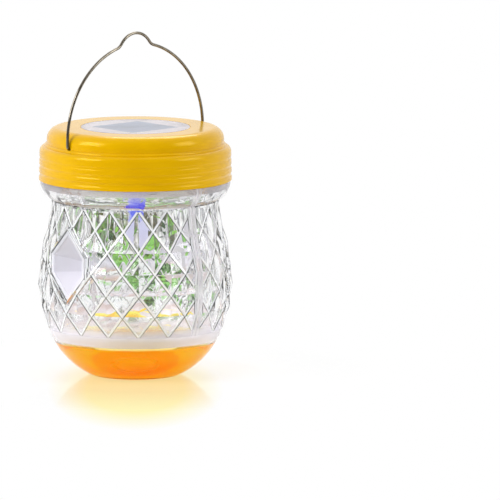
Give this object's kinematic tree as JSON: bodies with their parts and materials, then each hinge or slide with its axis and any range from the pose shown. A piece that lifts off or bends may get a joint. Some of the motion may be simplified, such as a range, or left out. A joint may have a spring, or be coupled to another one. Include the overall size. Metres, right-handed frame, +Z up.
{
  "type": "wasp trap",
  "caption": "Hanging wasp trap: clear diamond-cut jar with hexagonal funnel entries, bait bowl, screw lid with solar lamp and light tube, and a wire bail.",
  "frame": {"origin": "centre of the bowl's flat foot, on the surface that the trap stands on", "axes": "+Z up along the jar's axis, X through the two entries and the bail's pivots, Y through the jar's two upright seams"},
  "size_m": [0.11, 0.11, 0.1965],
  "materials": {
    "clear_shell": "clear moulded plastic, polished",
    "clear_bowl": "clear moulded plastic, polished",
    "entry_funnel": "pale clear plastic",
    "bait": "orange sugar bait, glossy surface",
    "lid_yellow": "yellow moulded plastic, glossy",
    "window": "clear plate",
    "solar_cell": "blue-grey cell under resin",
    "tray": "pale moulded plastic",
    "seal": "soft black ring",
    "gasket": "pale soft ring",
    "housing": "white moulded plastic",
    "battery": "plain sleeve on a steel can",
    "contact": "plated strip",
    "board": "green board",
    "chip": "black package",
    "inductor": "wound core",
    "switch_body": "folded steel case",
    "switch_knob": "black lever",
    "lamp": "clear lamp, violet when lit",
    "light_tube": "clear light guide",
    "wire": "drawn steel wire",
    "screw": "plated screws"
  },
  "bodies": {
    "jar": {"shell_half_left": "clear_shell", "shell_half_right": "clear_shell", "entry_funnel_left": "entry_funnel", "entry_funnel_right": "entry_funnel", "bottom_bowl": "clear_bowl", "bait_liquid": "bait"},
    "gasket": {"lid_gasket": "gasket"},
    "lid": {"lid_shell": "lid_yellow", "solar_window": "window", "solar_cell": "solar_cell", "module_tray": "tray", "module_seal": "seal", "lamp_base": "housing", "battery": "battery", "contact_spring": "contact", "contact_plate": "contact", "circuit_board": "board", "driver_chip": "chip", "inductor": "inductor", "switch_body": "switch_body", "uv_led": "lamp", "light_tube": "light_tube", "battery_door": "housing", "door_screw": "screw", "base_screws": "screw"},
    "bail": {"bail_wire": "wire"},
    "switch": {"switch_knob": "switch_knob"}
  },
  "joints": [
    {"name": "lid_turn", "type": "hinge", "parent": "jar", "child": "gasket", "pos_m": [0, 0, 0.1269], "axis": [0, 0, 1], "range_deg": [0, 360]},
    {"name": "lid_lift", "type": "slide", "parent": "gasket", "child": "lid", "axis": [0, 0, 1], "range_m": [0, 0.012]},
    {"name": "bail_swing", "type": "hinge", "parent": "lid", "child": "bail", "pos_m": [0, 0, 0.1337], "axis": [1, 0, 0], "range_deg": [-90, 90]},
    {"name": "switch_slide", "type": "slide", "parent": "lid", "child": "switch", "axis": [1, 0, 0], "range_m": [0, 0.003]}
  ],
  "couplings": [
    {"joint": "lid_lift", "follows": "lid_turn", "m_per_rad": 0.0019}
  ]
}
